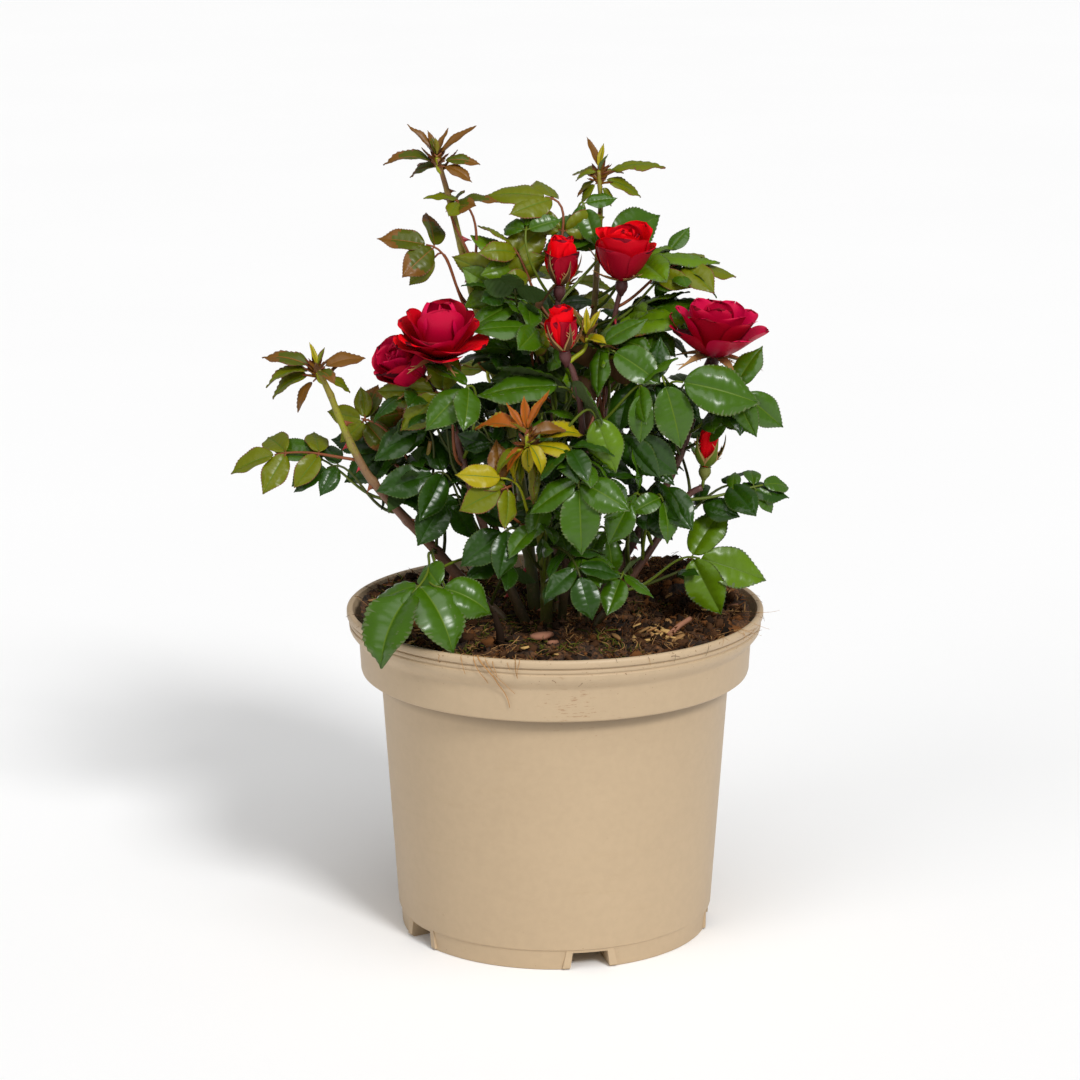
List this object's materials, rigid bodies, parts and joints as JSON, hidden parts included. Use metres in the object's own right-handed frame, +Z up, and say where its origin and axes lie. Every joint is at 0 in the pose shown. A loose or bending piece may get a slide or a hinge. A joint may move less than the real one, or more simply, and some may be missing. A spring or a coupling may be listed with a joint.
{
  "type": "potted rose bush",
  "caption": "Young rose bush with red blooms, pinnate glossy leaves and thorny canes, growing in a round tapered nursery pot with a rolled rim, a deep collar and drain notches.",
  "frame": {"origin": "middle of the flat underside of the pot", "axes": "+Z up, +X to the plant's right seen from its front, -Y towards the front"},
  "size_m": [0.2553, 0.19, 0.369],
  "materials": {
    "pot_plastic": "satin",
    "compost": "matte",
    "bark_brown": "satin",
    "bark_green": "satin",
    "bark_purple": "satin",
    "leaf": "satin",
    "leaf_young": "satin",
    "petal": "matte"
  },
  "bodies": {
    "root": {"pot": "pot_plastic", "soil": "compost", "cane_left": "bark_brown", "spur_left": "bark_green", "cane_tall": "bark_brown", "cane_top_right": "bark_green", "cane_flower_top": "bark_purple", "cane_flower_middle": "bark_purple", "cane_flower_front": "bark_purple", "cane_green": "bark_green", "cane_flower_left": "bark_purple", "cane_left_back": "bark_brown", "cane_flower_right": "bark_purple", "cane_bud_right": "bark_purple", "cane_back_left": "bark_brown", "cane_back_right": "bark_brown", "cane_back_top": "bark_brown", "shoot_left": "leaf_young", "shoot_tall": "leaf_young", "shoot_top_right": "leaf_young", "shoot_small": "leaf_young", "flower_left": "petal", "flower_middle": "petal", "flower_top": "petal", "flower_front": "petal", "flower_right": "petal", "bud_right": "petal", "spray_left": "leaf", "spray_inner_left": "leaf", "spray_tall_left": "leaf_young", "spray_top_middle": "leaf", "spray_top_right": "leaf", "spray_right": "leaf", "spray_right_low": "leaf", "spray_left_rim": "leaf", "crown_upper_left": "leaf", "crown_upper_right": "leaf", "crown_right": "leaf", "crown_middle": "leaf", "crown_left_upper": "leaf", "crown_left": "leaf", "crown_front": "leaf", "crown_front_low": "leaf", "crown_right_low": "leaf", "crown_left_back": "leaf", "crown_right_back": "leaf", "crown_back_left": "leaf", "crown_back_right": "leaf", "crown_back_top": "leaf", "crown_back_low": "leaf"}
  },
  "joints": []
}
